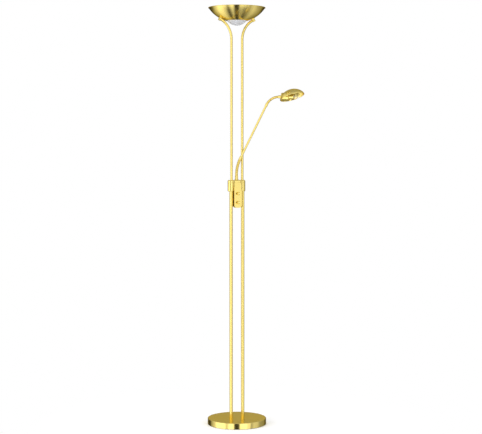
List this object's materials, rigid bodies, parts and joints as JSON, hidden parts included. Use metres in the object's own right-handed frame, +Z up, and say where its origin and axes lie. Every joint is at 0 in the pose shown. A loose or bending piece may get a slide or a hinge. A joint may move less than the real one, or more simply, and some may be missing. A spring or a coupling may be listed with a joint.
{
  "type": "reading floor lamp",
  "caption": "Floor lamp with an uplighter bowl on two slim poles and a flexible reading arm with a domed shade between them, in satin brass.",
  "frame": {"origin": "centre of the base's underside, on the floor", "axes": "+Z up, +X from the left pole to the right pole, -Y the front with the two dimmer knobs"},
  "size_m": [0.3727, 0.3262, 1.8],
  "materials": {
    "satin_brass": "satin lacquered brass",
    "zinc_steel": "zinc-plated steel",
    "cast_weight": "rough cast iron",
    "felt": "black felt",
    "grommet_rubber": "black rubber",
    "dark_plastic": "black moulded plastic",
    "circuit_board": "green glass-fibre board",
    "ceramic": "glazed white ceramic",
    "frosted_glass": "frosted pressed glass",
    "clear_glass": "clear quartz glass"
  },
  "bodies": {
    "stand": {"felt_pad": "felt", "base_weight": "cast_weight", "base_cover": "satin_brass", "cord_grommet": "grommet_rubber", "pole_studs": "zinc_steel", "pole_nuts": "zinc_steel", "pole_washers": "zinc_steel", "pole_plugs": "zinc_steel", "lower_pole_left": "satin_brass", "lower_pole_right": "satin_brass", "bracket_body": "satin_brass", "bracket_cap": "satin_brass", "cap_screws": "zinc_steel", "grub_screws": "zinc_steel", "upper_pole_left": "satin_brass", "upper_pole_right": "satin_brass", "dimmer_housing": "satin_brass", "housing_back": "satin_brass", "housing_screws": "zinc_steel", "back_screws": "zinc_steel", "dimmer_board": "circuit_board", "potentiometers": "dark_plastic", "bowl_studs": "satin_brass", "stud_nipples": "zinc_steel", "nipple_nuts": "zinc_steel", "bowl": "satin_brass", "glass_dish": "frosted_glass", "lamp_bracket": "zinc_steel", "lamp_holders": "ceramic", "halogen_tube": "clear_glass", "tube_ends": "ceramic"},
    "upper_dial": {"upper_knob": "satin_brass", "upper_spindle": "zinc_steel"},
    "lower_dial": {"lower_knob": "satin_brass", "lower_spindle": "zinc_steel"},
    "foot": {"arm_foot": "satin_brass", "arm_washer": "zinc_steel", "arm_nut": "zinc_steel"},
    "lower_neck_1": {"lower_link_1": "satin_brass"},
    "lower_neck_2": {"lower_link_2": "satin_brass"},
    "lower_neck_3": {"lower_link_3": "satin_brass"},
    "lower_neck_4": {"lower_link_4": "satin_brass"},
    "lower_neck_5": {"lower_link_5": "satin_brass"},
    "rod": {"rod_ferrule_lower": "satin_brass", "arm_rod": "satin_brass", "rod_ferrule_upper": "satin_brass"},
    "upper_neck_1": {"upper_link_1": "satin_brass"},
    "upper_neck_2": {"upper_link_2": "satin_brass"},
    "upper_neck_3": {"upper_link_3": "satin_brass"},
    "upper_neck_4": {"upper_link_4": "satin_brass"},
    "upper_neck_5": {"upper_link_5": "satin_brass"},
    "neck_end": {"head_ferrule": "satin_brass", "swivel_bolt": "zinc_steel"},
    "head": {"head_barrel": "satin_brass", "barrel_cap": "satin_brass", "bulb_socket": "ceramic", "capsule_bulb": "frosted_glass", "head_shade": "satin_brass", "shade_band": "satin_brass", "shade_screw": "satin_brass"}
  },
  "joints": [
    {"name": "upper_dial_turn", "type": "hinge", "parent": "stand", "child": "upper_dial", "pos_m": [0, -0.0133, 1.003], "axis": [0, -1, 0], "range_deg": [-270, 0]},
    {"name": "lower_dial_turn", "type": "hinge", "parent": "stand", "child": "lower_dial", "pos_m": [0, -0.0133, 0.964], "axis": [0, -1, 0], "range_deg": [-270, 0]},
    {"name": "arm_swivel", "type": "hinge", "parent": "stand", "child": "foot", "pos_m": [0, 0.004, 1.061], "axis": [0, 0, 1], "range_deg": [-104, 0]},
    {"name": "lower_bend_1", "type": "hinge", "parent": "foot", "child": "lower_neck_1", "pos_m": [0, 0.004, 1.089], "axis": [0.6157, 0.788, 0], "range_deg": [-3, 9]},
    {"name": "lower_bend_2", "type": "hinge", "parent": "lower_neck_1", "child": "lower_neck_2", "pos_m": [0.00073, 0.00343, 1.10096], "axis": [0.6157, 0.788, 0], "range_deg": [-3, 9]},
    {"name": "lower_bend_3", "type": "hinge", "parent": "lower_neck_2", "child": "lower_neck_3", "pos_m": [0.0022, 0.00228, 1.11282], "axis": [0.6157, 0.788, 0], "range_deg": [-3, 9]},
    {"name": "lower_bend_4", "type": "hinge", "parent": "lower_neck_3", "child": "lower_neck_4", "pos_m": [0.00438, 0.00058, 1.1245], "axis": [0.6157, 0.788, 0], "range_deg": [-3, 9]},
    {"name": "lower_bend_5", "type": "hinge", "parent": "lower_neck_4", "child": "lower_neck_5", "pos_m": [0.00727, -0.00168, 1.13592], "axis": [0.6157, 0.788, 0], "range_deg": [-3, 9]},
    {"name": "lower_bend_6", "type": "hinge", "parent": "lower_neck_5", "child": "rod", "pos_m": [0.01085, -0.00448, 1.14703], "axis": [0.6157, 0.788, 0], "range_deg": [-3, 9]},
    {"name": "upper_bend_1", "type": "hinge", "parent": "rod", "child": "upper_neck_1", "pos_m": [0.1068, -0.07944, 1.38913], "axis": [0.6157, 0.788, 0], "range_deg": [-4.5, 4]},
    {"name": "upper_bend_2", "type": "hinge", "parent": "upper_neck_1", "child": "upper_neck_2", "pos_m": [0.11205, -0.08354, 1.39789], "axis": [0.6157, 0.788, 0], "range_deg": [-4.5, 4]},
    {"name": "upper_bend_3", "type": "hinge", "parent": "upper_neck_2", "child": "upper_neck_3", "pos_m": [0.11847, -0.08856, 1.40528], "axis": [0.6157, 0.788, 0], "range_deg": [-4.5, 4]},
    {"name": "upper_bend_4", "type": "hinge", "parent": "upper_neck_3", "child": "upper_neck_4", "pos_m": [0.12585, -0.09433, 1.41105], "axis": [0.6157, 0.788, 0], "range_deg": [-4.5, 4]},
    {"name": "upper_bend_5", "type": "hinge", "parent": "upper_neck_4", "child": "upper_neck_5", "pos_m": [0.13394, -0.10064, 1.41501], "axis": [0.6157, 0.788, 0], "range_deg": [-4.5, 4]},
    {"name": "upper_bend_6", "type": "hinge", "parent": "upper_neck_5", "child": "neck_end", "pos_m": [0.14246, -0.1073, 1.41702], "axis": [0.6157, 0.788, 0], "range_deg": [-4.5, 4]},
    {"name": "head_turn", "type": "hinge", "parent": "neck_end", "child": "head", "pos_m": [0.14246, -0.1073, 1.41702], "axis": [0.788, -0.6157, 0], "range_deg": [-150, 150]}
  ],
  "couplings": [
    {"joint": "lower_bend_2", "follows": "lower_bend_1", "ratio": 1},
    {"joint": "lower_bend_4", "follows": "lower_bend_3", "ratio": 1},
    {"joint": "lower_bend_6", "follows": "lower_bend_5", "ratio": 1},
    {"joint": "upper_bend_2", "follows": "upper_bend_1", "ratio": 1},
    {"joint": "upper_bend_3", "follows": "upper_bend_1", "ratio": 1},
    {"joint": "upper_bend_4", "follows": "upper_bend_1", "ratio": 1},
    {"joint": "upper_bend_5", "follows": "upper_bend_1", "ratio": 1},
    {"joint": "upper_bend_6", "follows": "upper_bend_1", "ratio": 1}
  ]
}
